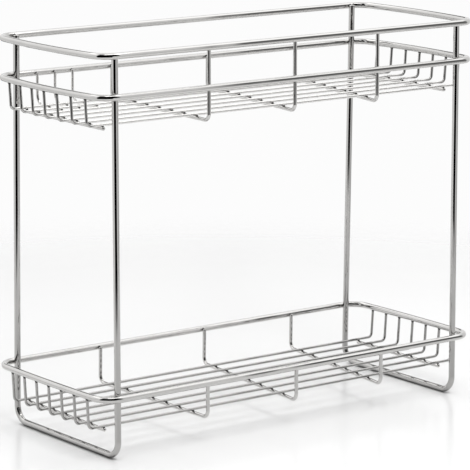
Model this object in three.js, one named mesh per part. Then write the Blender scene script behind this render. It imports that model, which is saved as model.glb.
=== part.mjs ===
// A free-standing two-tier rack of plated round wire: two shallow baskets between two bent leg frames.
// Millimetres. +X runs to the right, -Y faces the front, +Z is up, and the rack stands on Z = 0.
import * as THREE from "three";

// Wire sizes, all diameters
const FRAME_WIRE = 5.4; // leg frames and rings
const STAY_WIRE = 3.2; // stays and end bars
const FLOOR_WIRE = 2.4; // floor wires and rear guards
const WELD_GAP = 0.3; // left between two wires where the real ones are welded together

// Leg frames: a post, a foot bar and a post, bent from one wire
const LEG_SPAN = 366; // between the two frames, centre to centre
const FOOT_DEPTH = 150; // between a frame's posts at the foot bar
const TOP_DEPTH = 143; // between the same posts at the top ring
const FOOT_BEND = 13; // centre-line radius
const POST_ABOVE_RING = 1; // a post's cut end above the top ring's centre line

// Rings: two basket rims and the guard ring at the top
const LOWER_RIM_HEIGHT = 53.5; // floor to the lower rim's centre line
const SHELF_RISE = 248.5; // lower rim to upper rim
const GUARD_RISE = 33.5; // upper rim to top ring
const RING_BEND = 16; // centre-line radius of the corners
const POST_TO_BEND = 1; // from a post to the start of a corner
const END_BOW = 3.5; // how far the middle of an end stands out past its corners
const LOWER_END_BOW = 1; // the same on the lower rim, which is straighter

// Baskets
const UPPER_DROP = 25; // rim to floor wires, centre to centre
const LOWER_DROP = 28;
const FLOOR_COUNT = 7;
const FLOOR_PITCH = 18.5; // between floor wires
const FLOOR_BEND = 4; // centre-line radius
const END_LEAN = 1.5; // how far a floor wire's upright leans in on its way down
const STAY_BEND = 6;
const STAY_ABOVE_RIM = 0.5; // a stay's or guard's cut end above the centre line it is welded to
const END_BAR_INSET = 16.5; // from a ring's end to the end bar
const CUT_NUB = 2; // what a cut wire stands out past the last wire it crosses
const GUARD_COUNT = 3;
const GUARD_FROM_LEG = 22; // from the left leg frame to the first rear guard
const GUARD_PITCH = 18;
const GUARD_BEND = 10;

// Stays: the front legs are evenly spaced, and most rear legs stand further to the right than the front ones
const UPPER_STAY_PITCH = 90.5; // between front legs
const UPPER_STAY_SHIFT = 1; // from the rack's middle to the middle stay's front leg
const UPPER_SLANT_LEFT = 5.5; // from a stay's front leg to its rear leg, along the rack
const UPPER_SLANT_MIDDLE = 18;
const UPPER_SLANT_RIGHT = 26.5;
const LOWER_STAY_PITCH = 95;
const LOWER_STAY_SHIFT = 3.5;
const LOWER_SLANT_LEFT = -4;
const LOWER_SLANT_MIDDLE = 15;
const LOWER_SLANT_RIGHT = 20;

// Facets
const FRAME_SIDES = 12;
const THIN_SIDES = 8;
const BEND_STEPS = 6; // to a quarter turn
const BOW_STEPS = 8; // to a ring's end

const FOOT_Z = FRAME_WIRE / 2;
const UPPER_RIM_HEIGHT = LOWER_RIM_HEIGHT + SHELF_RISE;
const TOP_RING_HEIGHT = UPPER_RIM_HEIGHT + GUARD_RISE;
const X_AXIS = new THREE.Vector3(1, 0, 0);
const Y_AXIS = new THREE.Vector3(0, 1, 0);
const Z_AXIS = new THREE.Vector3(0, 0, 1);

const rack = new THREE.Group();
rack.name = "two_tier_wire_rack";

// How far apart the centre lines of two welded wires lie.
function welded(wireA, wireB) {
  return (wireA + wireB) / 2 + WELD_GAP;
}

// The posts splay a little, so their distance from the middle depends on the height.
function postY(z) {
  const rise = (z - FOOT_Z) / (TOP_RING_HEIGHT - FOOT_Z);
  return (FOOT_DEPTH + rise * (TOP_DEPTH - FOOT_DEPTH)) / 2;
}

// A ring passes outside the posts.
function ringY(z) {
  return postY(z) + welded(FRAME_WIRE, FRAME_WIRE);
}

// A thinner wire stands inside the rings.
function insideRing(z, wire) {
  return ringY(z) - welded(FRAME_WIRE, wire);
}

// A flat centre line set into the plane of two directions, with a station at each end of every straight run
// and several round every bend, so that a sweep along it wastes no facets.
class WirePath extends THREE.Curve {
  constructor(flat, origin, along, up) {
    super();
    const place = (p) => along.clone().multiplyScalar(p.x).addScaledVector(up, p.y);
    const plane = along.clone().cross(up);
    this.points = [];
    this.tangents = [];
    flat.curves.forEach((run, index) => {
      const steps = run.isEllipseCurve ? arcSteps(run) : 1;
      for (let i = index ? 1 : 0; i <= steps; i++) {
        this.points.push(place(run.getPoint(i / steps)).add(origin));
        this.tangents.push(place(run.getTangent(i / steps)).normalize());
      }
    });
    this.normals = this.tangents.map((t) => plane.clone().cross(t));
    this.binormals = this.tangents.map(() => plane.clone());
  }
  getSpacedPoints() {
    return this.points;
  }
  computeFrenetFrames() {
    return { tangents: this.tangents, normals: this.normals, binormals: this.binormals };
  }
}

function arcSteps(arc) {
  const turn = Math.abs(arc.aEndAngle - arc.aStartAngle);
  return turn < Math.PI / 6 ? BOW_STEPS : Math.max(2, Math.round((turn / (Math.PI / 2)) * BEND_STEPS));
}

// Straight runs between the corners, each corner rounded to the bend radius.
function bentLine(corners, radius) {
  const at = corners.map(([x, y]) => new THREE.Vector2(x, y));
  const flat = new THREE.Path().moveTo(at[0].x, at[0].y);
  for (let i = 1; i < at.length - 1; i++) {
    const arriving = at[i].clone().sub(at[i - 1]).normalize();
    const leaving = at[i + 1].clone().sub(at[i]).normalize();
    const side = Math.sign(arriving.cross(leaving));
    const bend = Math.acos(arriving.dot(leaving));
    const start = at[i].clone().addScaledVector(arriving, -radius * Math.tan(bend / 2));
    const toCentre = new THREE.Vector2(-arriving.y, arriving.x).multiplyScalar(side);
    const centre = start.clone().addScaledVector(toCentre, radius);
    const from = Math.atan2(start.y - centre.y, start.x - centre.x);
    flat.lineTo(start.x, start.y);
    flat.absarc(centre.x, centre.y, radius, from, from + side * bend, side < 0);
  }
  const last = at[at.length - 1];
  return flat.lineTo(last.x, last.y);
}

// A round wire's section, with a flat facet up, down and to each side.
function wireSection(wire, sides) {
  const corner = wire / 2 / Math.cos(Math.PI / sides);
  const points = [];
  for (let i = 0; i < sides; i++) {
    const angle = ((i + 0.5) * 2 * Math.PI) / sides;
    points.push(new THREE.Vector2(corner * Math.cos(angle), corner * Math.sin(angle)));
  }
  return new THREE.Shape(points);
}

function sweep(path, wire) {
  const sides = wire === FRAME_WIRE ? FRAME_SIDES : THIN_SIDES;
  return new THREE.ExtrudeGeometry(wireSection(wire, sides), {
    steps: path.points.length - 1,
    extrudePath: path,
    bevelEnabled: false,
  });
}

// A sweep whose path ends where it began needs no end caps, so only its sides are kept.
function closedSweep(path, wire) {
  const whole = sweep(path, wire);
  const { start, count } = whole.groups[1];
  const corners = whole.attributes.position.array.slice(start * 3, (start + count) * 3);
  const ring = new THREE.BufferGeometry();
  ring.setAttribute("position", new THREE.BufferAttribute(corners, 3));
  ring.computeVertexNormals();
  return ring;
}

function add(name, geometry) {
  const chrome = new THREE.MeshStandardMaterial({ color: 0xd4d6d8, roughness: 0.1, metalness: 1 });
  const mesh = new THREE.Mesh(geometry, chrome);
  mesh.name = name;
  rack.add(mesh);
}

// The end of a ring is a shallow arc that runs smoothly into both corners.
class Ring {
  constructor(height, bow) {
    this.height = height;
    this.y = ringY(height);
    this.cornerX = LEG_SPAN / 2 + POST_TO_BEND;
    this.cornerY = this.y - RING_BEND;
    this.endX = this.cornerX + RING_BEND;
    const back = (this.cornerY ** 2 - bow ** 2) / (2 * bow);
    this.bowX = this.cornerX - back;
    this.bowRadius = back + RING_BEND + bow;
    this.bowAngle = Math.asin(this.cornerY / (this.bowRadius - RING_BEND));
  }
  // The centre line's distance from the middle at a place along the end
  reach(y) {
    return this.bowX + Math.sqrt(this.bowRadius ** 2 - y ** 2);
  }
  geometry() {
    const quarter = Math.PI / 2;
    const half = Math.PI;
    const { cornerX, cornerY, bowX, bowRadius, bowAngle } = this;
    const flat = new THREE.Path().moveTo(-cornerX, -this.y).lineTo(cornerX, -this.y);
    flat.absarc(cornerX, -cornerY, RING_BEND, -quarter, -bowAngle);
    flat.absarc(bowX, 0, bowRadius, -bowAngle, bowAngle);
    flat.absarc(cornerX, cornerY, RING_BEND, bowAngle, quarter);
    flat.lineTo(-cornerX, this.y);
    flat.absarc(-cornerX, cornerY, RING_BEND, quarter, half - bowAngle);
    flat.absarc(-bowX, 0, bowRadius, half - bowAngle, half + bowAngle);
    flat.absarc(-cornerX, -cornerY, RING_BEND, half + bowAngle, half + quarter);
    const level = new THREE.Vector3(0, 0, this.height);
    return closedSweep(new WirePath(flat, level, X_AXIS, Y_AXIS), FRAME_WIRE);
  }
}

// Leg frames
for (const [side, sign] of [["left", -1], ["right", 1]]) {
  const top = TOP_RING_HEIGHT + POST_ABOVE_RING;
  const flat = bentLine(
    [[postY(top), top], [postY(FOOT_Z), FOOT_Z], [-postY(FOOT_Z), FOOT_Z], [-postY(top), top]],
    FOOT_BEND,
  );
  const plane = new THREE.Vector3((sign * LEG_SPAN) / 2, 0, 0);
  add(`${side}_leg_frame`, sweep(new WirePath(flat, plane, Y_AXIS, Z_AXIS), FRAME_WIRE));
}

// Rings
const topRing = new Ring(TOP_RING_HEIGHT, END_BOW);
const upperRim = new Ring(UPPER_RIM_HEIGHT, END_BOW);
const lowerRim = new Ring(LOWER_RIM_HEIGHT, LOWER_END_BOW);
add("top_ring", topRing.geometry());
add("upper_rim", upperRim.geometry());
add("lower_rim", lowerRim.geometry());

// Floor wires are numbered from the front, and their ends butt against the underside of the rim.
function floorY(index) {
  return FLOOR_PITCH * (index - (FLOOR_COUNT - 1) / 2);
}

function addFloor(tier, rim, floorZ) {
  const top = rim.height - FRAME_WIRE / 2 - WELD_GAP;
  for (let i = 0; i < FLOOR_COUNT; i++) {
    const y = floorY(i);
    const reach = rim.reach(y);
    const foot = reach - END_LEAN;
    const flat = bentLine([[-reach, top], [-foot, floorZ], [foot, floorZ], [reach, top]], FLOOR_BEND);
    const plane = new THREE.Vector3(0, y, 0);
    add(`${tier}_floor_wire_${i + 1}`, sweep(new WirePath(flat, plane, X_AXIS, Z_AXIS), FLOOR_WIRE));
  }
}

// A stay lies under the floor wires and its legs stand inside the rings, each up to its own height.
function addStay(name, front, slant, floorZ, rearHeight, frontHeight) {
  const bottom = floorZ - welded(FLOOR_WIRE, STAY_WIRE);
  const low = insideRing(bottom, STAY_WIRE);
  const rearTop = rearHeight + STAY_ABOVE_RIM;
  const frontTop = frontHeight + STAY_ABOVE_RIM;
  const along = new THREE.Vector3(slant, 2 * low, 0).normalize();
  const run = (y) => y / along.y;
  const flat = bentLine(
    [
      [run(insideRing(rearTop, STAY_WIRE)), rearTop],
      [run(low), bottom],
      [run(-low), bottom],
      [run(-insideRing(frontTop, STAY_WIRE)), frontTop],
    ],
    STAY_BEND,
  );
  const middle = new THREE.Vector3(front + slant / 2, 0, 0);
  add(name, sweep(new WirePath(flat, middle, along, Z_AXIS), STAY_WIRE));
}

// End bars are straight wires under the floor wires, cut just past the outermost ones.
function addEndBars(tier, rim, floorZ) {
  const z = floorZ - welded(FLOOR_WIRE, STAY_WIRE);
  const half = floorY(FLOOR_COUNT - 1) + CUT_NUB;
  for (const [side, sign] of [["left", -1], ["right", 1]]) {
    const flat = new THREE.Path().moveTo(-half, z).lineTo(half, z);
    const plane = new THREE.Vector3(sign * (rim.endX - END_BAR_INSET), 0, 0);
    add(`${tier}_end_bar_${side}`, sweep(new WirePath(flat, plane, Y_AXIS, Z_AXIS), STAY_WIRE));
  }
}

// A rear guard drops from the rear of the upper rim and turns forward under the last two floor wires.
function addRearGuards(rim, floorZ) {
  const top = rim.height + STAY_ABOVE_RIM;
  const bottom = floorZ - welded(FLOOR_WIRE, FLOOR_WIRE);
  const end = floorY(FLOOR_COUNT - 2) - CUT_NUB;
  for (let i = 0; i < GUARD_COUNT; i++) {
    const flat = bentLine(
      [[insideRing(top, FLOOR_WIRE), top], [insideRing(bottom, FLOOR_WIRE), bottom], [end, bottom]],
      GUARD_BEND,
    );
    const plane = new THREE.Vector3(-LEG_SPAN / 2 + GUARD_FROM_LEG + i * GUARD_PITCH, 0, 0);
    add(`upper_rear_guard_${i + 1}`, sweep(new WirePath(flat, plane, Y_AXIS, Z_AXIS), FLOOR_WIRE));
  }
}

// Upper basket
const upperFloorZ = UPPER_RIM_HEIGHT - UPPER_DROP;
addFloor("upper", upperRim, upperFloorZ);
const upperStays = [
  ["left", UPPER_STAY_SHIFT - UPPER_STAY_PITCH, UPPER_SLANT_LEFT],
  ["middle", UPPER_STAY_SHIFT, UPPER_SLANT_MIDDLE],
  ["right", UPPER_STAY_SHIFT + UPPER_STAY_PITCH, UPPER_SLANT_RIGHT],
];
for (const [side, front, slant] of upperStays)
  addStay(`upper_stay_${side}`, front, slant, upperFloorZ, UPPER_RIM_HEIGHT, TOP_RING_HEIGHT);
addEndBars("upper", upperRim, upperFloorZ);
addRearGuards(upperRim, upperFloorZ);

// Lower basket
const lowerFloorZ = LOWER_RIM_HEIGHT - LOWER_DROP;
addFloor("lower", lowerRim, lowerFloorZ);
const lowerStays = [
  ["left", LOWER_STAY_SHIFT - LOWER_STAY_PITCH, LOWER_SLANT_LEFT],
  ["middle", LOWER_STAY_SHIFT, LOWER_SLANT_MIDDLE],
  ["right", LOWER_STAY_SHIFT + LOWER_STAY_PITCH, LOWER_SLANT_RIGHT],
];
for (const [side, front, slant] of lowerStays)
  addStay(`lower_stay_${side}`, front, slant, lowerFloorZ, LOWER_RIM_HEIGHT, LOWER_RIM_HEIGHT);
addEndBars("lower", lowerRim, lowerFloorZ);

export default rack;
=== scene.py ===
# A free-standing two-tier rack of chrome-plated wire in a plain studio. Metres, +Z up, front at -Y.
import math

import bmesh
import bpy
from mathutils import Matrix, Vector, noise


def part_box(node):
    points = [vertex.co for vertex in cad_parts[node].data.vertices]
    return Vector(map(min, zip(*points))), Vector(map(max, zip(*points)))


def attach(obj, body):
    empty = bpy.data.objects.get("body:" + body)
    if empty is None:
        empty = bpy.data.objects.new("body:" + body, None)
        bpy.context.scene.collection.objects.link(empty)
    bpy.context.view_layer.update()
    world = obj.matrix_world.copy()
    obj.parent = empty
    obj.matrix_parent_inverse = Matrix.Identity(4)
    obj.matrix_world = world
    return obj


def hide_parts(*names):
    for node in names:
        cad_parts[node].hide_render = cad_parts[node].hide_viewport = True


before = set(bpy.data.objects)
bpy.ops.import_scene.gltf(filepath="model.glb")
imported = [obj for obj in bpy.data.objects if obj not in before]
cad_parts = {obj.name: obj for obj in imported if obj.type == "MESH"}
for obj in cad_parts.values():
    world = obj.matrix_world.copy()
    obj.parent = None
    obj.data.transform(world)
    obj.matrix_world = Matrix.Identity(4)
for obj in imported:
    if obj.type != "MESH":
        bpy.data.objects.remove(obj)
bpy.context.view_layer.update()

# Leg frames
# Two lengths of 5.4 mm mild-steel wire, each bent to a U: rear post, foot bar and front post. The posts lean
# in towards the top. The rack is chrome plated once it is welded up. The legs' tone is darkened towards the
# feet as painted shade, for the darker reflections near the table.
FRAME_WIRE = 0.0054
WELD_GAP = 0.0003
FOOT_HALF_DEPTH = 0.075
TOP_HALF_DEPTH = 0.0715
FOOT_BEND = 0.013
ROUND_SIDES = 24
BEND_STEPS = 10
LEAST_BEND_STEPS = 3
CUT_CHAMFER = 0.0004
SAWN_END = [(CUT_CHAMFER * 3, 0), (CUT_CHAMFER, 0), (0, CUT_CHAMFER)]
STRAIGHT_STATIONS = (0.001, 0.004)
TOP_RING_HEIGHT = (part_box("top_ring")[0].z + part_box("top_ring")[1].z) / 2
UPPER_RIM_HEIGHT = (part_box("upper_rim")[0].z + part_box("upper_rim")[1].z) / 2
LOWER_RIM_HEIGHT = (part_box("lower_rim")[0].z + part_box("lower_rim")[1].z) / 2
ALONG_X = Vector((1, 0, 0))


def post_y(z):
    """How far in front of or behind the middle a post's centre line stands, at a height."""
    rise = (z - FRAME_WIRE / 2) / (TOP_RING_HEIGHT - FRAME_WIRE / 2)
    return FOOT_HALF_DEPTH + rise * (TOP_HALF_DEPTH - FOOT_HALF_DEPTH)


def bent_line(corners, radius):
    """The centre line through the corners, each inner one rounded, with extra stations beside every bend."""
    line = [corners[0]]
    for before, corner, after in zip(corners, corners[1:], corners[2:]):
        arriving = (corner - before).normalized()
        leaving = (after - corner).normalized()
        bend = arriving.angle(leaving)
        inward = (leaving - arriving * arriving.dot(leaving)).normalized()
        start = corner - arriving * radius * math.tan(bend / 2)
        centre = start + inward * radius
        steps = max(LEAST_BEND_STEPS, round(bend / (math.pi / 2) * BEND_STEPS))
        line += [start - arriving * back for back in reversed(STRAIGHT_STATIONS)]
        for i in range(steps + 1):
            turn = bend * i / steps
            line.append(centre - inward * radius * math.cos(turn) + arriving * radius * math.sin(turn))
        line += [line[-1] + leaving * on for on in STRAIGHT_STATIONS]
    line.append(corners[-1])
    return line


def join_rows(bm, rows):
    """Smooth faces between each round of points and the next."""
    for row, following in zip(rows, rows[1:]):
        for k in range(len(row)):
            n = (k + 1) % len(row)
            bm.faces.new((row[k], row[n], following[n], following[k])).smooth = True


def make_piece(name, bm):
    """Turn finished faces into a named object in the scene."""
    bmesh.ops.recalc_face_normals(bm, faces=bm.faces)
    mesh = bpy.data.meshes.new(name)
    bm.to_mesh(mesh)
    bm.free()
    piece = bpy.data.objects.new(name, mesh)
    bpy.context.scene.collection.objects.link(piece)
    return piece


def draw_wire(name, line, wire, plane, closed=False, end=SAWN_END):
    """A round wire swept along a flat centre line, each end shaped by steps of distance back and inset."""
    count = len(line)
    stations = []
    for i, point in enumerate(line):
        ahead = line[(i + 1) % count] if closed or i < count - 1 else point
        behind = line[i - 1] if closed or i else point
        along = (ahead - behind).normalized()
        stations.append((point, along, wire / 2))
    if not closed:
        first, along, _ = stations.pop(0)
        for back, inset in end:
            stations.insert(0, (first + along * back, along, wire / 2 - inset))
        last, along, _ = stations.pop()
        for back, inset in end:
            stations.append((last - along * back, along, wire / 2 - inset))
    bm = bmesh.new()
    rings = []
    for point, along, radius in stations:
        across = plane.cross(along)
        ring = []
        for k in range(ROUND_SIDES):
            angle = 2 * math.pi * k / ROUND_SIDES
            ring.append(bm.verts.new(point + radius * (across * math.cos(angle) + plane * math.sin(angle))))
        rings.append(ring)
    if closed:
        join_rows(bm, rings + rings[:1])
    else:
        join_rows(bm, rings)
        bm.faces.new(list(reversed(rings[0])))
        bm.faces.new(rings[-1])
    return make_piece(name, bm)


def fit(piece, slot, finish, *nodes):
    """Give a piece its finish, fix it to the rack and let it stand for the nodes that it replaces."""
    piece.data.materials.append(finish)
    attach(piece, "root")
    if nodes:
        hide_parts(*nodes)


TONE_PATCH_SCALE = 60.0
SKIN_SHARE = 0.002
POLISH_BLEND = 0.005


def plating_group():
    """Chrome over drawn wire: its slow waver, the fine skin of the plating and faint changes of tone.

    The tone can fall off below a height as painted shade, and the wire's ends can be polished beyond a reach
    to either side, where their tone also drops to a share of the rest.
    """
    group = bpy.data.node_groups.new("plated wire", "ShaderNodeTree")
    for name, kind, value in (
        ("Waver Scale", "NodeSocketFloat", 16.0),
        ("Skin Scale", "NodeSocketFloat", 900.0),
        ("Dark Tone", "NodeSocketColor", (0.5, 0.5, 0.5, 1)),
        ("Light Tone", "NodeSocketColor", (0.6, 0.6, 0.6, 1)),
        ("Least Roughness", "NodeSocketFloat", 0.05),
        ("Most Roughness", "NodeSocketFloat", 0.12),
        # Painted shade: below this height the tone falls to a share of itself
        ("Painted Shade Below", "NodeSocketFloat", 0.16),
        ("Shaded Brightness", "NodeSocketFloat", 1.0),
        ("Polished Beyond", "NodeSocketFloat", 1.0),
        ("End Roughness", "NodeSocketFloat", 0.04),
        ("End Brightness", "NodeSocketFloat", 0.6),
    ):
        group.interface.new_socket(name, in_out="INPUT", socket_type=kind).default_value = value
    for name, kind in (
        ("Tone", "NodeSocketColor"),
        ("Roughness", "NodeSocketFloat"),
        ("Height", "NodeSocketFloat"),
    ):
        group.interface.new_socket(name, in_out="OUTPUT", socket_type=kind)
    nodes, links = group.nodes, group.links
    entry = nodes.new("NodeGroupInput")
    out = nodes.new("NodeGroupOutput")
    place = nodes.new("ShaderNodeTexCoord")
    axes = nodes.new("ShaderNodeSeparateXYZ")
    links.new(place.outputs["Object"], axes.inputs["Vector"])

    # Three textures: the slow waver, the fine skin and the patches of tone
    waver = nodes.new("ShaderNodeTexNoise")
    waver.inputs["Detail"].default_value = 1.0
    skin = nodes.new("ShaderNodeTexNoise")
    skin.inputs["Detail"].default_value = 3.0
    patch = nodes.new("ShaderNodeTexNoise")
    patch.inputs["Scale"].default_value = TONE_PATCH_SCALE
    patch.inputs["Detail"].default_value = 4.0
    for texture in (waver, skin, patch):
        links.new(place.outputs["Object"], texture.inputs["Vector"])
    links.new(entry.outputs["Waver Scale"], waver.inputs["Scale"])
    links.new(entry.outputs["Skin Scale"], skin.inputs["Scale"])

    # Relief: the waver with a little of the skin on it
    fine = nodes.new("ShaderNodeMath")
    fine.operation = "MULTIPLY_ADD"
    fine.inputs[1].default_value = SKIN_SHARE
    links.new(skin.outputs["Fac"], fine.inputs[0])
    links.new(waver.outputs["Fac"], fine.inputs[2])
    links.new(fine.outputs["Value"], out.inputs["Height"])

    # Patches of tone and roughness
    tone = nodes.new("ShaderNodeMix")
    tone.data_type = "RGBA"
    rough = nodes.new("ShaderNodeMapRange")
    links.new(patch.outputs["Fac"], tone.inputs["Factor"])
    links.new(entry.outputs["Dark Tone"], tone.inputs["A"])
    links.new(entry.outputs["Light Tone"], tone.inputs["B"])
    links.new(patch.outputs["Fac"], rough.inputs["Value"])
    links.new(entry.outputs["Least Roughness"], rough.inputs["To Min"])
    links.new(entry.outputs["Most Roughness"], rough.inputs["To Max"])

    # Painted shade: darker in tone towards the table, for the darker reflections low down
    painted_shade_ramp = nodes.new("ShaderNodeMapRange")
    painted_shade_ramp.interpolation_type = "SMOOTHSTEP"
    painted_shade_tone = nodes.new("ShaderNodeVectorMath")
    painted_shade_tone.operation = "SCALE"
    links.new(axes.outputs["Z"], painted_shade_ramp.inputs["Value"])
    links.new(entry.outputs["Painted Shade Below"], painted_shade_ramp.inputs["From Max"])
    links.new(entry.outputs["Shaded Brightness"], painted_shade_ramp.inputs["To Min"])
    links.new(tone.outputs["Result"], painted_shade_tone.inputs[0])
    links.new(painted_shade_ramp.outputs["Result"], painted_shade_tone.inputs["Scale"])

    # Polished ends, where the tone drops to a share of the rest, which undoes most of the upper floor wires'
    # painted light
    reach = nodes.new("ShaderNodeMath")
    reach.operation = "ABSOLUTE"
    beyond = nodes.new("ShaderNodeMath")
    beyond.operation = "SUBTRACT"
    near_end = nodes.new("ShaderNodeMapRange")
    near_end.inputs["From Max"].default_value = POLISH_BLEND
    end_rough = nodes.new("ShaderNodeMix")
    end_shade = nodes.new("ShaderNodeMapRange")
    end_shade.inputs["To Min"].default_value = 1.0
    end_tone = nodes.new("ShaderNodeVectorMath")
    end_tone.operation = "SCALE"
    links.new(axes.outputs["X"], reach.inputs[0])
    links.new(reach.outputs["Value"], beyond.inputs[0])
    links.new(entry.outputs["Polished Beyond"], beyond.inputs[1])
    links.new(beyond.outputs["Value"], near_end.inputs["Value"])
    links.new(near_end.outputs["Result"], end_rough.inputs["Factor"])
    links.new(rough.outputs["Result"], end_rough.inputs["A"])
    links.new(entry.outputs["End Roughness"], end_rough.inputs["B"])
    links.new(near_end.outputs["Result"], end_shade.inputs["Value"])
    links.new(entry.outputs["End Brightness"], end_shade.inputs["To Max"])
    links.new(painted_shade_tone.outputs["Vector"], end_tone.inputs[0])
    links.new(end_shade.outputs["Result"], end_tone.inputs["Scale"])
    links.new(end_tone.outputs["Vector"], out.inputs["Tone"])
    links.new(end_rough.outputs["Result"], out.inputs["Roughness"])
    return group


PLATED_WIRE = plating_group()


def metal(name, depth, values):
    """A metal finish made from the plated wire group, with its own values and depth of relief."""
    material = bpy.data.materials.new(name)
    material.use_nodes = True
    nodes, links = material.node_tree.nodes, material.node_tree.links
    shader = nodes["Principled BSDF"]
    shader.inputs["Metallic"].default_value = 1.0
    plated = nodes.new("ShaderNodeGroup")
    plated.node_tree = PLATED_WIRE
    for socket, value in values.items():
        plated.inputs[socket].default_value = value
    relief = nodes.new("ShaderNodeBump")
    relief.inputs["Strength"].default_value = 1.0
    relief.inputs["Distance"].default_value = depth
    links.new(plated.outputs["Tone"], shader.inputs["Base Color"])
    links.new(plated.outputs["Roughness"], shader.inputs["Roughness"])
    links.new(plated.outputs["Height"], relief.inputs["Height"])
    links.new(relief.outputs["Normal"], shader.inputs["Normal"])
    return material


FRAME_RELIEF = 0.0006
FRAME_FINISH = {
    "Waver Scale": 14.0,
    "Dark Tone": (0.480, 0.474, 0.465, 1),
    "Light Tone": (0.570, 0.563, 0.552, 1),
    "Least Roughness": 0.02,
    "Most Roughness": 0.05,
}
# The legs' tone is darkened below 0.2 m as painted shade, for the darker reflections near the table.
LEG_FINISH = {**FRAME_FINISH, "Painted Shade Below": 0.20, "Shaded Brightness": 0.84}
LEG_CHROME = metal("leg chrome", FRAME_RELIEF, LEG_FINISH)

for side in ("left", "right"):
    low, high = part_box(side + "_leg_frame")
    x = (low.x + high.x) / 2
    foot = FRAME_WIRE / 2
    corners = [
        Vector((x, post_y(high.z), high.z)),
        Vector((x, post_y(foot), foot)),
        Vector((x, -post_y(foot), foot)),
        Vector((x, -post_y(high.z), high.z)),
    ]
    leg = draw_wire("leg_frame_" + side, bent_line(corners, FOOT_BEND), FRAME_WIRE, ALONG_X)
    fit(leg, "frame_wire", LEG_CHROME, side + "_leg_frame")

LEG_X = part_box("right_leg_frame")[1].x - FRAME_WIRE / 2

# Rings
# Three closed rings of the same wire, bent to a rounded rectangle and butt welded: the two baskets' rims and
# the guard ring above them. They pass outside the posts, and their short ends are bowed out a little.
RING_BEND = 0.016
POST_TO_BEND = 0.001
BOW_STEPS = 12
CORNER_X = LEG_X + POST_TO_BEND
ALONG_Z = Vector((0, 0, 1))
RING_CHROME = metal("ring chrome", FRAME_RELIEF, FRAME_FINISH)
RINGS = {"top_ring": TOP_RING_HEIGHT, "upper_rim": UPPER_RIM_HEIGHT, "lower_rim": LOWER_RIM_HEIGHT}


def ring_y(z):
    """How far in front of or behind the middle a ring's long sides lie, at a height."""
    return post_y(z) + FRAME_WIRE + WELD_GAP


def inside_ring(z, wire):
    """The same for the centre line of a wire that is welded to the inside of a ring's long side."""
    return ring_y(z) - (FRAME_WIRE + wire) / 2 - WELD_GAP


def bow(ring):
    """The centre, radius and half angle of the shallow arc at a ring's right end."""
    stand_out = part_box(ring)[1].x - FRAME_WIRE / 2 - CORNER_X - RING_BEND
    corner_y = ring_y(RINGS[ring]) - RING_BEND
    back = (corner_y ** 2 - stand_out ** 2) / (2 * stand_out)
    radius = back + RING_BEND + stand_out
    return CORNER_X - back, radius, math.asin(corner_y / (radius - RING_BEND))


def ring_reach(ring, y):
    """How far from the middle a ring's end lies, at a place across the rack."""
    centre, radius, _ = bow(ring)
    return centre + math.sqrt(radius ** 2 - y ** 2)


def arc(centre, radius, start, end, steps):
    """Points on a level arc from one angle to another."""
    points = []
    for i in range(steps + 1):
        angle = start + (end - start) * i / steps
        points.append(centre + radius * Vector((math.cos(angle), math.sin(angle), 0)))
    return points


def ring_line(ring):
    """A ring's centre line: the right end with its two corners, then the same turned round for the left."""
    height = RINGS[ring]
    corner_y = ring_y(height) - RING_BEND
    bow_x, bow_radius, turn = bow(ring)
    right = [Vector((CORNER_X - back, -ring_y(height), height)) for back in reversed(STRAIGHT_STATIONS)]
    right += arc(Vector((CORNER_X, -corner_y, height)), RING_BEND, -math.pi / 2, -turn, BEND_STEPS)
    right += arc(Vector((bow_x, 0, height)), bow_radius, -turn, turn, BOW_STEPS)[1:]
    right += arc(Vector((CORNER_X, corner_y, height)), RING_BEND, turn, math.pi / 2, BEND_STEPS)[1:]
    right += [Vector((CORNER_X - on, ring_y(height), height)) for on in STRAIGHT_STATIONS]
    left = [Vector((-p.x, -p.y, p.z)) for p in right]
    return right + left


for ring in RINGS:
    piece = draw_wire(ring + "_wire", ring_line(ring), FRAME_WIRE, ALONG_Z, closed=True)
    fit(piece, "frame_wire", RING_CHROME, ring)

# Floor wires
# Seven thin wires run the length of each basket. Both ends are turned up and butt welded under the rim, so
# they also close the basket's short ends. The upper ones are softer in finish, with polished ends, and their
# tone is painted paler as painted light, less so at the ends. The lower ones' tone is painted darker as
# painted shade, for their reflections of the shaded table under the basket.
FLOOR_WIRE = 0.0024
FLOOR_BEND = 0.004
END_LEAN = 0.0015
FLOOR_COUNT = 7
ALONG_Y = Vector((0, 1, 0))
BASKET_RELIEF = 0.0008
FLOOR_CHROME = {
    # Painted light: a paler tone than the frame's, for the brighter reflections of the upper floor wires
    "upper": metal("upper floor chrome with painted light", BASKET_RELIEF, {
        "Waver Scale": 22.0,
        "Dark Tone": (0.68, 0.672, 0.661, 1),
        "Light Tone": (0.78, 0.771, 0.758, 1),
        "Least Roughness": 0.20,
        "Most Roughness": 0.32,
        "Polished Beyond": 0.192,
    }),
    # Painted shade: a darker tone, for the lower floor wires' reflections of the shaded table beneath them
    "lower": metal("lower floor chrome with painted shade", BASKET_RELIEF, {
        "Waver Scale": 22.0,
        "Dark Tone": (0.34, 0.336, 0.329, 1),
        "Light Tone": (0.42, 0.415, 0.407, 1),
        "Least Roughness": 0.04,
        "Most Roughness": 0.12,
    }),
}
TIERS = {"upper": UPPER_RIM_HEIGHT, "lower": LOWER_RIM_HEIGHT}
floor_z = {}
floor_y = {}
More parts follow.
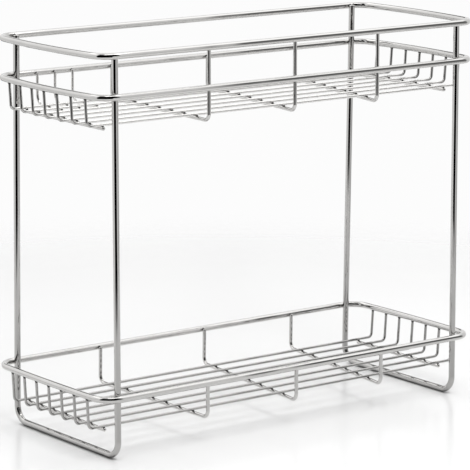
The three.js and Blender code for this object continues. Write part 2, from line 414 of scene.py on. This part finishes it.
for tier in TIERS:
    floor_z[tier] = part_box(tier + "_floor_wire_1")[0].z + FLOOR_WIRE / 2
    floor_y[tier] = []
    for i in range(1, FLOOR_COUNT + 1):
        low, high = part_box(f"{tier}_floor_wire_{i}")
        y = (low.y + high.y) / 2
        floor_y[tier].append(y)
        reach = ring_reach(tier + "_rim", y)
        corners = [
            Vector((-reach, y, high.z)),
            Vector((END_LEAN - reach, y, floor_z[tier])),
            Vector((reach - END_LEAN, y, floor_z[tier])),
            Vector((reach, y, high.z)),
        ]
        wire = draw_wire(f"{tier}_floor_{i}", bent_line(corners, FLOOR_BEND), FLOOR_WIRE, ALONG_Y)
        fit(wire, "basket_wire", FLOOR_CHROME[tier], f"{tier}_floor_wire_{i}")

# Stays
# Three wires cross under each basket's floor and turn up inside the rims, where they are welded. The upper
# stays' front legs go on up to the guard ring. Most rear legs stand further right than the front ones.
STAY_WIRE = 0.0032
STAY_BEND = 0.006
STAY_ABOVE_RIM = 0.0005
# Each stay's place along the rack at its front leg, and how much further right its rear leg stands
STAYS = {
    "upper": {"left": (-0.0895, 0.0055), "middle": (0.001, 0.018), "right": (0.0915, 0.0265)},
    "lower": {"left": (-0.0915, -0.004), "middle": (0.0035, 0.015), "right": (0.0985, 0.020)},
}
STAY_CHROME = metal("stay chrome", BASKET_RELIEF, {
    "Waver Scale": 22.0,
    "Dark Tone": (0.50, 0.494, 0.485, 1),
    "Light Tone": (0.59, 0.583, 0.572, 1),
    "Least Roughness": 0.02,
    "Most Roughness": 0.06,
})
stay_bottom = {tier: z - (FLOOR_WIRE + STAY_WIRE) / 2 - WELD_GAP for tier, z in floor_z.items()}


def stay_point(tier, side, y, z):
    """A point on a stay's slanted upright plane, at a place across the rack."""
    front, slant = STAYS[tier][side]
    half = inside_ring(stay_bottom[tier], STAY_WIRE)
    return Vector((front + slant / 2 + y / half * slant / 2, y, z))


for tier, rim in TIERS.items():
    bottom = stay_bottom[tier]
    rear_top = rim + STAY_ABOVE_RIM
    front_top = (TOP_RING_HEIGHT if tier == "upper" else rim) + STAY_ABOVE_RIM
    for side in STAYS[tier]:
        corners = [
            stay_point(tier, side, inside_ring(rear_top, STAY_WIRE), rear_top),
            stay_point(tier, side, inside_ring(bottom, STAY_WIRE), bottom),
            stay_point(tier, side, -inside_ring(bottom, STAY_WIRE), bottom),
            stay_point(tier, side, -inside_ring(front_top, STAY_WIRE), front_top),
        ]
        plane = (corners[1] - corners[2]).cross(ALONG_Z).normalized()
        stay = draw_wire(f"{tier}_stay_wire_{side}", bent_line(corners, STAY_BEND), STAY_WIRE, plane)
        fit(stay, "basket_wire", STAY_CHROME, f"{tier}_stay_{side}")

# End bars
# A straight cut length of the stay wire crosses under the floor wires near each end and holds their spacing.
# It is welded to each of them, and its ends stand out a little beyond the outer ones and are rounded over.
BAR_ROUNDING = 0.0014
ROUNDING_STEPS = 6
LAST_FULL_STATION = 0.003
ROUND_END = [(LAST_FULL_STATION, 0.0)]
for i in range(ROUNDING_STEPS):
    turn = math.radians(90 * i / ROUNDING_STEPS)
    ROUND_END.append((BAR_ROUNDING * (1 - math.sin(turn)), BAR_ROUNDING * (1 - math.cos(turn))))
bar_x = {tier: [] for tier in TIERS}
for tier in TIERS:
    for side in ("left", "right"):
        low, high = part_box(f"{tier}_end_bar_{side}")
        x = (low.x + high.x) / 2
        bar_x[tier].append(x)
        line = [Vector((x, low.y, stay_bottom[tier])), Vector((x, high.y, stay_bottom[tier]))]
        bar = draw_wire(f"{tier}_end_bar_wire_{side}", line, STAY_WIRE, ALONG_X, end=ROUND_END)
        fit(bar, "basket_wire", STAY_CHROME, f"{tier}_end_bar_{side}")

# Rear guards
# Three short lengths of the floor wire are welded to the rear of the upper rim near its left end. They hang
# down, turn forward under the floor and are welded to its two rear wires.
GUARD_BEND = 0.010
GUARD_COUNT = 3
guard_x = []
guard_z = floor_z["upper"] - FLOOR_WIRE - WELD_GAP
for i in range(1, GUARD_COUNT + 1):
    low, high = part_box(f"upper_rear_guard_{i}")
    x = (low.x + high.x) / 2
    guard_x.append(x)
    corners = [
        Vector((x, inside_ring(high.z, FLOOR_WIRE), high.z)),
        Vector((x, inside_ring(guard_z, FLOOR_WIRE), guard_z)),
        Vector((x, low.y, guard_z)),
    ]
    guard = draw_wire(f"rear_guard_wire_{i}", bent_line(corners, GUARD_BEND), FLOOR_WIRE, ALONG_X)
    # The guards share the upper floor wires' painted-pale tone.
    fit(guard, "basket_wire", FLOOR_CHROME["upper"], f"upper_rear_guard_{i}")

# Welds
# Every crossing is a resistance weld: the two wires are pressed together and some metal squeezes out as a
# small uneven bead. Each bead is painted near-black as painted shade, for the shadowed gap where the wires
# cross.
BEAD_RELIEF = 0.0004
# Painted shade: near-black tones that stand for the shadowed, dark-reflecting gap at each crossing
WELD_SHADE_METAL = metal("weld bead painted dark as shade", BEAD_RELIEF, {
    "Waver Scale": 420.0,
    "Skin Scale": 2500.0,
    "Dark Tone": (0.01, 0.01, 0.01, 1),
    "Light Tone": (0.06, 0.06, 0.059, 1),
    "Least Roughness": 0.28,
    "Most Roughness": 0.5,
})
BEAD_ROWS = 5
BEAD_SIDES = 12
BEAD_UNEVENNESS = 0.22
BEAD_LUMP_SCALE = 900
# Half the length, width and depth of each kind of bead
POST_BEAD = (0.0017, 0.0017, 0.0011)
STAY_BEAD = (0.0013, 0.0011, 0.0010)
BAR_BEAD = (0.0010, 0.0010, 0.0008)
FLOOR_END_BEAD = (0.0013, 0.0014, 0.0007)
STAY_END_BEAD = (0.0012, 0.0014, 0.0008)
GUARD_TOP_BEAD = (0.0010, 0.0012, 0.0007)
GUARD_BEAD = (0.0011, 0.0010, 0.0007)


def bead(bm, at, along, across, half_long, half_wide, half_deep):
    """One uneven bead, longest along one wire, widest along the other and sunk into both."""
    through = along.cross(across)
    rows = []
    for i in range(1, BEAD_ROWS + 1):
        lift = math.pi * i / (BEAD_ROWS + 1) - math.pi / 2
        row = []
        for k in range(BEAD_SIDES):
            turn = 2 * math.pi * k / BEAD_SIDES
            flat = along * half_long * math.cos(turn) + across * half_wide * math.sin(turn)
            point = at + flat * math.cos(lift) + through * half_deep * math.sin(lift)
            swell = 1 + BEAD_UNEVENNESS * noise.noise(point * BEAD_LUMP_SCALE)
            row.append(bm.verts.new(at + (point - at) * swell))
        rows.append(row)
    join_rows(bm, rows)
    for row, tip in ((rows[0], -half_deep), (rows[-1], half_deep)):
        pole = bm.verts.new(at + through * tip)
        for k in range(BEAD_SIDES):
            bm.faces.new((row[k], row[(k + 1) % BEAD_SIDES], pole)).smooth = True


def weld_set(name, slot, beads):
    """All the beads of one group of welds, as one piece."""
    bm = bmesh.new()
    for values in beads:
        bead(bm, *values)
    fit(make_piece(name, bm), slot, WELD_SHADE_METAL)


post_welds = []
for height in RINGS.values():
    for x in (-LEG_X, LEG_X):
        for face in (-1, 1):
            at = Vector((x, face * (post_y(height) + FRAME_WIRE / 2 + WELD_GAP / 2), height))
            post_welds.append((at, ALONG_X, ALONG_Z, *POST_BEAD))
weld_set("post_welds", "frame_wire", post_welds)

for tier, rim in TIERS.items():
    contact = floor_z[tier] - FLOOR_WIRE / 2 - WELD_GAP / 2
    crossings = []
    for y in floor_y[tier]:
        spots = [stay_point(tier, side, y, contact) for side in STAYS[tier]]
        crossings += [(at, ALONG_X, ALONG_Y, *STAY_BEAD) for at in spots]
        spots = [Vector((x, y, contact)) for x in bar_x[tier]]
        crossings += [(at, ALONG_X, ALONG_Y, *BAR_BEAD) for at in spots]
    for y in floor_y[tier]:
        for sign in (-1, 1):
            at = Vector((sign * ring_reach(tier + "_rim", y), y, rim - FRAME_WIRE / 2 - WELD_GAP / 2))
            crossings.append((at, ALONG_X, ALONG_Y, *FLOOR_END_BEAD))
    for side in STAYS[tier]:
        spots = [(1, rim), (-1, rim)]
        if tier == "upper":
            spots.append((-1, TOP_RING_HEIGHT))
        for face, height in spots:
            y = face * inside_ring(height, STAY_WIRE)
            at = stay_point(tier, side, y, height)
            at.y += face * (STAY_WIRE + WELD_GAP) / 2
            crossings.append((at, ALONG_X, ALONG_Z, *STAY_END_BEAD))
    if tier == "upper":
        for x in guard_x:
            at = Vector((x, inside_ring(rim, FLOOR_WIRE) + (FLOOR_WIRE + WELD_GAP) / 2, rim))
            crossings.append((at, ALONG_X, ALONG_Z, *GUARD_TOP_BEAD))
            for y in floor_y[tier][-2:]:
                at = Vector((x, y, contact))
                crossings.append((at, ALONG_X, ALONG_Y, *GUARD_BEAD))
    weld_set(tier + "_basket_welds", "basket_wire", crossings)

# Table
# A round white table with a dull polish, faintly uneven in tone. A contact shadow is painted into its colour
# right beside whatever stands on it, and it fades away towards its edge.
TABLE_RADIUS = 0.90
TABLE_FADE = 0.32
TABLE_SIDES = 96
TABLE_ROUNDS = (0.25, 0.5, 0.75, TABLE_RADIUS)
CONTACT_SHADOW_REACH = 0.003
CONTACT_SHADOW_SHARE = 0.7
bm = bmesh.new()
rows = []
for radius in TABLE_ROUNDS:
    row = []
    for k in range(TABLE_SIDES):
        turn = 2 * math.pi * k / TABLE_SIDES
        row.append(bm.verts.new((radius * math.cos(turn), radius * math.sin(turn), 0)))
    rows.append(row)
bm.faces.new(rows[0])
join_rows(bm, rows)
table = make_piece("table", bm)

white = bpy.data.materials.new("white table")
white.use_nodes = True
nodes, links = white.node_tree.nodes, white.node_tree.links
shader = nodes["Principled BSDF"]
shader.inputs["Roughness"].default_value = 0.2
shader.inputs["Specular IOR Level"].default_value = 0.3
place = nodes.new("ShaderNodeTexCoord")
mottle = nodes.new("ShaderNodeTexNoise")
mottle.inputs["Scale"].default_value = 9.0
shade = nodes.new("ShaderNodeValToRGB")
shade.color_ramp.elements[0].color = (0.79, 0.79, 0.79, 1)
shade.color_ramp.elements[1].color = (0.805, 0.805, 0.805, 1)
# Painted shadow: ambient occlusion over a few millimetres darkens the table's colour beside the rack's wires
contact = nodes.new("ShaderNodeAmbientOcclusion")
contact.inputs["Distance"].default_value = CONTACT_SHADOW_REACH
painted_contact_shadow = nodes.new("ShaderNodeMix")
painted_contact_shadow.data_type = "RGBA"
painted_contact_shadow.inputs["Factor"].default_value = CONTACT_SHADOW_SHARE
distance = nodes.new("ShaderNodeVectorMath")
distance.operation = "LENGTH"
fade = nodes.new("ShaderNodeMapRange")
fade.interpolation_type = "SMOOTHSTEP"
fade.inputs["From Min"].default_value = TABLE_RADIUS - TABLE_FADE
fade.inputs["From Max"].default_value = TABLE_RADIUS
fade.inputs["To Min"].default_value = 1.0
fade.inputs["To Max"].default_value = 0.0
links.new(place.outputs["Object"], mottle.inputs["Vector"])
links.new(place.outputs["Object"], distance.inputs[0])
links.new(mottle.outputs["Fac"], shade.inputs["Fac"])
links.new(shade.outputs["Color"], contact.inputs["Color"])
links.new(shade.outputs["Color"], painted_contact_shadow.inputs["A"])
links.new(contact.outputs["Color"], painted_contact_shadow.inputs["B"])
links.new(painted_contact_shadow.outputs["Result"], shader.inputs["Base Color"])
links.new(distance.outputs["Value"], fade.inputs["Value"])
links.new(fade.outputs["Result"], shader.inputs["Alpha"])
table.data.materials.append(white)

# Studio
# White walls with a bright ceiling, dimmer straight overhead. Dark gaps behind the camera, to its right and
# behind the rack show in the plated wire as black streaks. The camera itself sees a plain near-white room.
TO_CAMERA = Vector((-0.61, -0.79))
studio = bpy.data.worlds.new("studio")
studio.use_nodes = True
bpy.context.scene.world = studio
nodes, links = studio.node_tree.nodes, studio.node_tree.links
nodes.clear()


def math_node(operation, *values):
    """A math node whose inputs are numbers or sockets, giving back its output socket."""
    node = nodes.new("ShaderNodeMath")
    node.operation = operation
    for socket, value in zip(node.inputs, values):
        if isinstance(value, (int, float)):
            socket.default_value = value
        else:
            links.new(value, socket)
    return node.outputs["Value"]


def ramp_node(value, start, end, low, high):
    """A smooth step from one value to another."""
    node = nodes.new("ShaderNodeMapRange")
    node.interpolation_type = "SMOOTHSTEP"
    links.new(value, node.inputs["Value"])
    for socket, number in (("From Min", start), ("From Max", end), ("To Min", low), ("To Max", high)):
        node.inputs[socket].default_value = number
    return node.outputs["Result"]


def window_node(value, start, end, soft):
    """One between two values and nothing outside them, with soft edges."""
    rising = ramp_node(value, start - soft, start + soft, 0.0, 1.0)
    falling = ramp_node(value, end - soft, end + soft, 1.0, 0.0)
    return math_node("MULTIPLY", rising, falling)


# The direction looked in, and its bearings from the camera and from the point opposite the camera
place = nodes.new("ShaderNodeTexCoord")
split = nodes.new("ShaderNodeSeparateXYZ")
links.new(place.outputs["Generated"], split.inputs["Vector"])
x, y, z = split.outputs["X"], split.outputs["Y"], split.outputs["Z"]
ahead = math_node("ADD", math_node("MULTIPLY", x, TO_CAMERA.x), math_node("MULTIPLY", y, TO_CAMERA.y))
aside = math_node("SUBTRACT", math_node("MULTIPLY", y, TO_CAMERA.x), math_node("MULTIPLY", x, TO_CAMERA.y))
bearing = math_node("ARCTAN2", aside, ahead)
behind = math_node("ARCTAN2", math_node("MULTIPLY", aside, -1.0), math_node("MULTIPLY", ahead, -1.0))

# Gaps and walls are set by these bearings and by how far a direction points up, to the right or to the rear
GAP_EDGE = math.radians(3)
EYE_LEVEL = (-0.05, 0.15)
GAP_TOP = (0.82, 0.94)


def gap_node(angle, start, end, widen):
    """A dark gap between two bearings in degrees. Above eye level its far side stands further out."""
    start, end, widen = (math.radians(a) for a in (start, end, widen))
    moved = math_node("SUBTRACT", angle, ramp_node(z, *EYE_LEVEL, 0.0, widen))
    near_side = ramp_node(angle, start - GAP_EDGE, start + GAP_EDGE, 0.0, 1.0)
    far_side = ramp_node(moved, end - GAP_EDGE, end + GAP_EDGE, 1.0, 0.0)
    across = math_node("MULTIPLY", near_side, far_side)
    return math_node("MULTIPLY", across, ramp_node(z, *GAP_TOP, 1.0, 0.0))


CAMERA_GAP = (-46, 36, 36)
camera_gap = gap_node(bearing, *CAMERA_GAP)

REAR_GAP = (-46, 25, 0)
REAR_GAP_LOW_PART = (-0.05, 0.05)
REAR_GAP_HIGH_PART = (0.40, 0.60, 0.04)
REAR_GAP_SIDE = (0.64, 0.74)
parts = math_node("MAXIMUM", ramp_node(z, *REAR_GAP_LOW_PART, 1.0, 0.0), window_node(z, *REAR_GAP_HIGH_PART))
rear_gap = math_node("MULTIPLY", gap_node(behind, *REAR_GAP), parts)
rear_gap = math_node("MULTIPLY", rear_gap, ramp_node(y, *REAR_GAP_SIDE, 0.0, 1.0))

RIGHT_GAP_SIDE = (0.588, 0.612)
RIGHT_GAP_TOP = (0.52, 0.66)
RIGHT_GAP_END = (math.radians(104), math.radians(112))
RIGHT_GAP_DARKNESS = (-0.2, 0.05, 0.4, 0.84)
right_gap = ramp_node(x, *RIGHT_GAP_SIDE, 0.0, 1.0)
right_gap = math_node("MULTIPLY", right_gap, ramp_node(z, *RIGHT_GAP_TOP, 1.0, 0.0))
right_gap = math_node("MULTIPLY", right_gap, ramp_node(bearing, *RIGHT_GAP_END, 1.0, 0.0))
right_gap = math_node("MULTIPLY", right_gap, ramp_node(z, *RIGHT_GAP_DARKNESS))
gap = math_node("MAXIMUM", math_node("MAXIMUM", camera_gap, right_gap), rear_gap)

# The light of the walls and ceiling: dimmer low down on the right, brighter high up at the rear left
DIM_WALL = (math.radians(45), math.radians(115), math.radians(8))
DIM_STRENGTH = (-0.1, 0.05, 0.13, 0.0)
dim = math_node("MULTIPLY", window_node(bearing, *DIM_WALL), ramp_node(z, *DIM_STRENGTH))

REAR_STRENGTH = (0.3, 0.75, 0.0, 0.28)
REAR_RISE = (-0.1, 0.45)
REAR_END = (0.2, 0.5)
rear = math_node("MULTIPLY", ramp_node(y, *REAR_STRENGTH), ramp_node(z, *REAR_RISE, 0.0, 1.0))
rear = math_node("MULTIPLY", rear, ramp_node(x, *REAR_END, 1.0, 0.0))

WALL_STRENGTH = (-0.2, 0.5, 0.98, 1.05)
CEILING_EXTRA = (0.58, 0.75, 0.0, 0.8)
OVERHEAD_LOSS = (0.84, 0.93, 0.0, 1.0)
wall = math_node("ADD", ramp_node(z, *WALL_STRENGTH), ramp_node(z, *CEILING_EXTRA))
wall = math_node("SUBTRACT", wall, ramp_node(z, *OVERHEAD_LOSS))
wall = math_node("SUBTRACT", math_node("ADD", wall, rear), dim)
light = math_node("MULTIPLY", wall, math_node("SUBTRACT", 1.0, gap))

room = nodes.new("ShaderNodeBackground")
room.inputs["Color"].default_value = (1, 1, 1, 1)
links.new(light, room.inputs["Strength"])
plain = nodes.new("ShaderNodeBackground")
plain.inputs["Color"].default_value = (0.975, 0.975, 0.975, 1)
path = nodes.new("ShaderNodeLightPath")
mix = nodes.new("ShaderNodeMixShader")
out = nodes.new("ShaderNodeOutputWorld")
links.new(path.outputs["Is Camera Ray"], mix.inputs["Fac"])
links.new(room.outputs["Background"], mix.inputs[1])
links.new(plain.outputs["Background"], mix.inputs[2])
links.new(mix.outputs["Shader"], out.inputs["Surface"])

# Lamps
# A long lamp above and in front, in line with the rack, throws faint shadows of the wires on the table. A
# soft lamp, higher and further out in front, lights the table and is hidden from the mirror-bright wire.
strip = bpy.data.lights.new("strip lamp", "AREA")
strip.shape = "RECTANGLE"
strip.size = 1.0
strip.size_y = 0.15
strip.energy = 2.0
strip_lamp = bpy.data.objects.new("strip lamp", strip)
strip_lamp.location = (0, -0.35, 1.25)
bpy.context.scene.collection.objects.link(strip_lamp)

soft = bpy.data.lights.new("soft lamp", "AREA")
soft.shape = "DISK"
soft.size = 0.65
soft.energy = 13.6
soft_lamp = bpy.data.objects.new("soft lamp", soft)
soft_lamp.location = (-0.12, -0.85, 1.65)
soft_lamp.visible_glossy = False
bpy.context.scene.collection.objects.link(soft_lamp)

# Camera
# A long lens that stands in front and to the left of the rack, higher than the top ring, and looks down on
# it a little. It is rolled by a third of a degree.
YAW = math.radians(37.578)
PITCH = math.radians(11.453)
ROLL = math.radians(0.328)
STAND = (-1.4854, -1.9232, 0.6476)
SENSOR_WIDTH = 36.0
PICTURE_PIXELS = 470
FOCAL_PIXELS = 2851.08
forward = Vector((math.sin(YAW) * math.cos(PITCH), math.cos(YAW) * math.cos(PITCH), -math.sin(PITCH)))
right = Vector((math.cos(YAW), -math.sin(YAW), 0))
up = right.cross(forward)
turned_right = right * math.cos(ROLL) + up * math.sin(ROLL)
turned_up = up * math.cos(ROLL) - right * math.sin(ROLL)
lens = bpy.data.cameras.new("camera")
lens.sensor_width = SENSOR_WIDTH
lens.lens = FOCAL_PIXELS / PICTURE_PIXELS * SENSOR_WIDTH
lens.clip_end = 50
camera = bpy.data.objects.new("camera", lens)
turn = Matrix((turned_right, turned_up, -forward)).transposed()
camera.matrix_world = Matrix.Translation(STAND) @ turn.to_4x4()
bpy.context.scene.collection.objects.link(camera)
bpy.context.scene.camera = camera
bpy.context.scene.view_settings.view_transform = "Standard"
